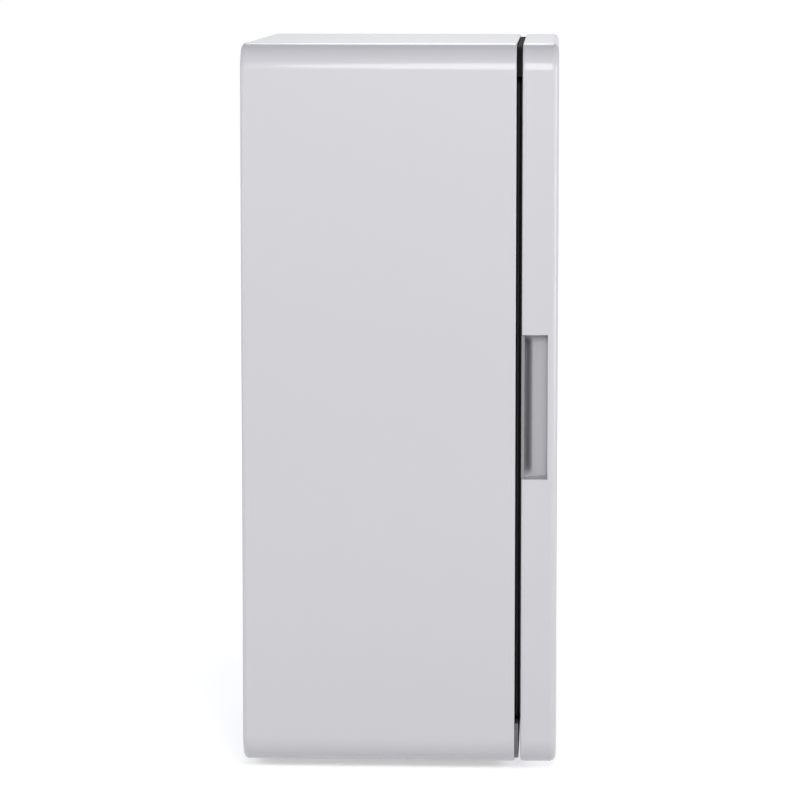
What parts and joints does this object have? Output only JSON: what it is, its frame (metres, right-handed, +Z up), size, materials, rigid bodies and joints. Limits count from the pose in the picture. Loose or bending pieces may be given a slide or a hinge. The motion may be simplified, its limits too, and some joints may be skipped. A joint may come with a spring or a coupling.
{
  "type": "mini fridge",
  "caption": "Free-standing mini fridge with a swinging door, a side finger pull, glass shelves, a drawer, door bins and a fan-cooled thermoelectric unit in the back.",
  "frame": {"origin": "middle of the footprint, on the plane that the feet stand on", "axes": "+Z up, the door faces -Y, the hinges are at +X and the finger pull is at -X"},
  "size_m": [0.45, 0.316, 0.733],
  "materials": {
    "shell": "satin",
    "liner": "semi-gloss",
    "black_plastic": "matt",
    "pull": "satin",
    "gap_plate": "satin",
    "foam": "foamed",
    "rubber": "matt",
    "aluminium": "extruded",
    "steel": "zinc plated",
    "ceramic": "matt",
    "board": "solder mask",
    "glass": "clear",
    "clear_plastic": "clear",
    "trim": "satin",
    "rocker": "gloss",
    "bush": "natural",
    "magnet": "plain"
  },
  "bodies": {
    "cabinet": {"outer_shell": "shell", "base_plate": "black_plastic", "feet": "rubber", "foot_screws": "steel", "front_frame": "black_plastic", "upper_gap_trim": "black_plastic", "lower_gap_plate": "gap_plate", "cabinet_insulation": "foam", "inner_liner": "liner", "service_bay": "liner", "rear_cover": "shell", "rear_cover_screws": "steel", "hot_sink": "aluminium", "thermoelectric_module": "ceramic", "cold_block": "aluminium", "cold_sink": "aluminium", "sink_screws": "steel", "hot_fan_housing": "black_plastic", "hot_fan_screws": "steel", "cold_fan_housing": "black_plastic", "cold_air_cover": "liner", "cold_cover_screws": "steel", "power_supply": "steel", "control_board": "board", "power_inlet": "black_plastic", "switch_bezel": "black_plastic", "drain_tube": "clear_plastic", "drip_cup": "liner", "control_housing": "liner", "thermostat": "steel", "light_board": "board", "light_lens": "clear_plastic", "temperature_sensor": "trim", "reed_switch": "trim", "upper_hinge_bracket": "steel", "lower_hinge_bracket": "steel", "hinge_pins": "steel", "hinge_screws": "steel"},
    "door": {"door_shell": "shell", "door_liner": "liner", "door_insulation": "foam", "door_gasket": "rubber", "handle_cup": "pull", "door_magnet": "magnet", "upper_door_bush": "bush", "lower_door_bush": "bush"},
    "upper_bin": {"door_bin_upper": "clear_plastic"},
    "middle_bin": {"door_bin_middle": "clear_plastic"},
    "lower_bin": {"door_bin_lower": "clear_plastic"},
    "upper_shelf": {"shelf_glass_upper": "glass", "shelf_trim_upper": "trim"},
    "lower_shelf": {"shelf_glass_lower": "glass", "shelf_trim_lower": "trim"},
    "crisper_cover": {"crisper_cover_glass": "glass", "crisper_cover_trim": "trim"},
    "drawer": {"crisper_drawer": "clear_plastic"},
    "knob": {"thermostat_knob": "trim"},
    "hot_rotor": {"hot_fan_rotor": "black_plastic"},
    "cold_rotor": {"cold_fan_rotor": "black_plastic"},
    "rocker": {"power_rocker": "rocker"}
  },
  "joints": [
    {"name": "door_hinge", "type": "hinge", "parent": "cabinet", "child": "door", "pos_m": [0.214, -0.14, 0.3705], "axis": [0, 0, 1], "range_deg": [0, 105]},
    {"name": "upper_shelf_slide", "type": "slide", "parent": "cabinet", "child": "upper_shelf", "axis": [0, -1, 0], "range_m": [0, 0.01]},
    {"name": "lower_shelf_slide", "type": "slide", "parent": "cabinet", "child": "lower_shelf", "axis": [0, -1, 0], "range_m": [0, 0.01]},
    {"name": "crisper_cover_slide", "type": "slide", "parent": "cabinet", "child": "crisper_cover", "axis": [0, -1, 0], "range_m": [0, 0.01]},
    {"name": "drawer_slide", "type": "slide", "parent": "cabinet", "child": "drawer", "axis": [0, -1, 0], "range_m": [0, 0.01]},
    {"name": "upper_bin_lift", "type": "slide", "parent": "door", "child": "upper_bin", "axis": [0, 0, 1], "range_m": [0, 0.012]},
    {"name": "middle_bin_lift", "type": "slide", "parent": "door", "child": "middle_bin", "axis": [0, 0, 1], "range_m": [0, 0.012]},
    {"name": "lower_bin_lift", "type": "slide", "parent": "door", "child": "lower_bin", "axis": [0, 0, 1], "range_m": [0, 0.012]},
    {"name": "thermostat_turn", "type": "hinge", "parent": "cabinet", "child": "knob", "pos_m": [0.044, 0.018, 0.664], "axis": [0, 1, 0], "range_deg": [0, 270]},
    {"name": "hot_fan_spin", "type": "hinge", "parent": "cabinet", "child": "hot_rotor", "pos_m": [0, 0.145, 0.38], "axis": [0, 1, 0], "continuous": true},
    {"name": "cold_fan_spin", "type": "hinge", "parent": "cabinet", "child": "cold_rotor", "pos_m": [0, 0.053, 0.38], "axis": [0, 1, 0], "continuous": true},
    {"name": "power_rocker_tilt", "type": "hinge", "parent": "cabinet", "child": "rocker", "pos_m": [0.104, 0.1512, 0.15], "axis": [1, 0, 0], "range_deg": [-8, 8]}
  ]
}
